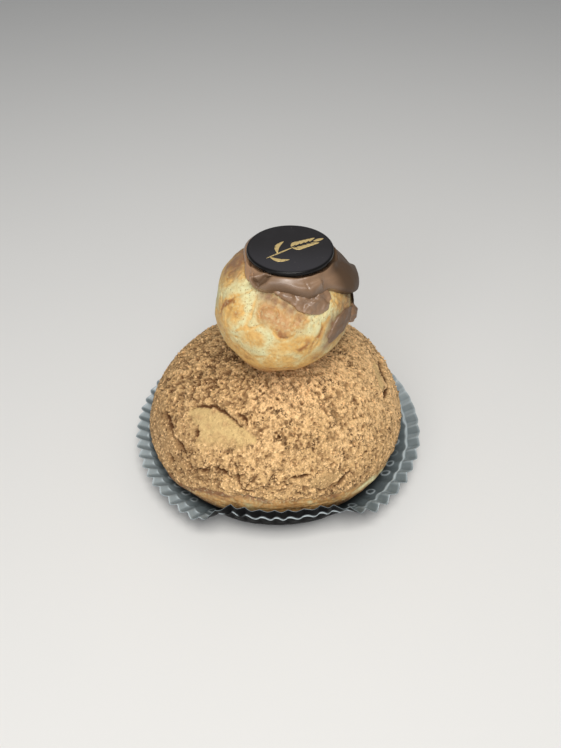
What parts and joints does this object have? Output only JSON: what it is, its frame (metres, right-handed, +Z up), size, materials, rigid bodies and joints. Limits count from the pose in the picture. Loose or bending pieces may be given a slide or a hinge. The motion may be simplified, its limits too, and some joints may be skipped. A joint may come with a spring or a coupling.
{
  "type": "religieuse choux pastry",
  "caption": "A small choux bun with chocolate icing and a round chocolate disc, resting on a large craquelin-crusted choux bun in a pleated paper case.",
  "frame": {"origin": "centre of the paper case's flat base, on the surface it stands on", "axes": "+Z up, -Y towards the front, where the case's wall is pushed upright, +X to the right seen from the front"},
  "size_m": [0.081, 0.0778, 0.0688],
  "materials": {
    "laminated_paper": "satin laminated paper, pale silver grey inside and glossy black outside",
    "craquelin": "matte baked sugar crust, golden tan, finely crumbled and cracked",
    "choux_skin": "baked choux skin, pale cream to golden brown in patches",
    "chocolate_icing": "soft milk chocolate icing with a gentle gloss",
    "dark_chocolate": "satin dark chocolate"
  },
  "bodies": {
    "root": {"pleated_case": "laminated_paper", "large_choux": "craquelin", "small_choux": "choux_skin", "icing_cap": "chocolate_icing", "chocolate_disc": "dark_chocolate"}
  },
  "joints": []
}
